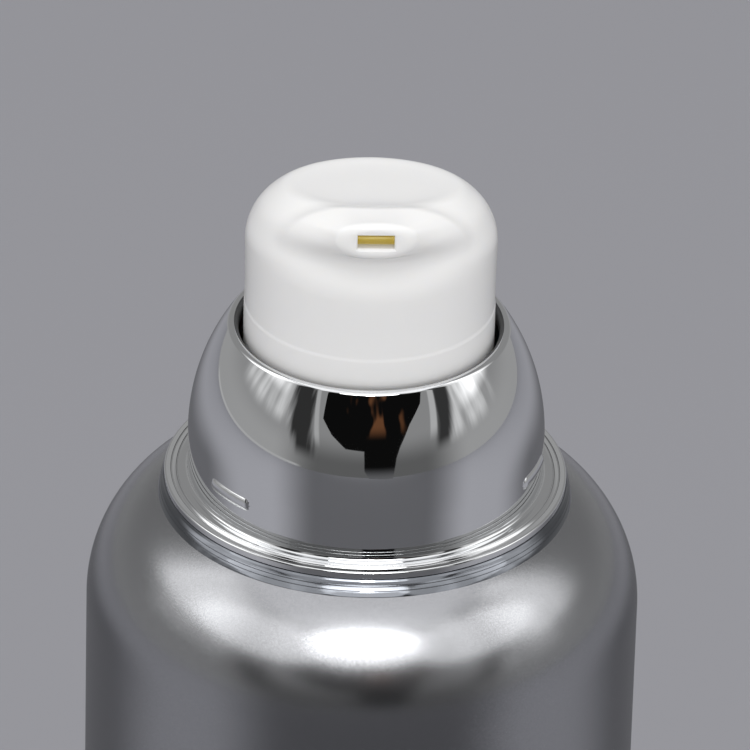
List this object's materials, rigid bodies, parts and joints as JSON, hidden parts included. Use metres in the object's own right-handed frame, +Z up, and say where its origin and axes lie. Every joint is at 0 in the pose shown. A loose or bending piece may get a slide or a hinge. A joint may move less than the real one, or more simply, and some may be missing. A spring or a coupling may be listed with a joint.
{
  "type": "airless pump bottle",
  "caption": "Double-walled airless pump bottle: satin silver shell, mirror-bright collar, white press button with a slot nozzle, spring pump and a rising follower piston.",
  "frame": {"origin": "middle of the foot's underside, on the surface that the bottle stands on", "axes": "+Z up along the bottle's axis, -Y towards the nozzle, +X to the right when one looks at the nozzle"},
  "size_m": [0.04, 0.04, 0.1189],
  "materials": {
    "silver_lacquer": "satin silver lacquer with fine metal flake under a clear coat, on moulded plastic",
    "inner_bottle_plastic": "natural milky moulded plastic",
    "foot_plastic": "grey moulded plastic with a fine satin grain",
    "follower_plastic": "smooth milky plastic",
    "bright_metal": "mirror-bright metallised surface",
    "natural_plastic": "natural moulded plastic",
    "gasket_rubber": "pale soft gasket",
    "ball_steel": "polished ball",
    "stem_plastic": "smooth white plastic",
    "seal_plastic": "soft milky sealing plastic",
    "spring_steel": "drawn stainless wire",
    "white_gloss": "polished white plastic",
    "golden_plastic": "golden yellow plastic"
  },
  "bodies": {
    "bottle": {"outer_shell": "silver_lacquer", "inner_bottle": "inner_bottle_plastic", "base_plate": "foot_plastic", "collar": "bright_metal", "lock_ring": "natural_plastic", "neck_gasket": "gasket_rubber", "pump_housing": "natural_plastic", "chaplet": "natural_plastic", "ball_cage": "natural_plastic", "return_spring": "spring_steel"},
    "plunger": {"stem": "stem_plastic", "piston_rod": "stem_plastic"},
    "button": {"button": "white_gloss", "button_core": "natural_plastic", "nozzle_insert": "golden_plastic"},
    "seal": {"pump_piston": "seal_plastic"},
    "ball": {"inlet_ball": "ball_steel"},
    "follower": {"follower_piston": "follower_plastic"}
  },
  "joints": [
    {"name": "button_press", "type": "slide", "parent": "bottle", "child": "plunger", "axis": [0, 0, -1], "range_m": [0, 0.0045], "stiffness_N_per_m": 900, "springref_m": -0.005, "deforming": ["return_spring"]},
    {"name": "button_spin", "type": "hinge", "parent": "plunger", "child": "button", "pos_m": [0, 0, 0.1111], "axis": [0, 0, 1], "continuous": true},
    {"name": "seal_lag", "type": "slide", "parent": "plunger", "child": "seal", "axis": [0, 0, 1], "range_m": [0, 0.0005]},
    {"name": "ball_lift", "type": "slide", "parent": "bottle", "child": "ball", "axis": [0, 0, 1], "range_m": [0, 0.0008]},
    {"name": "follower_rise", "type": "slide", "parent": "bottle", "child": "follower", "axis": [0, 0, 1], "range_m": [0, 0.0685]}
  ]
}
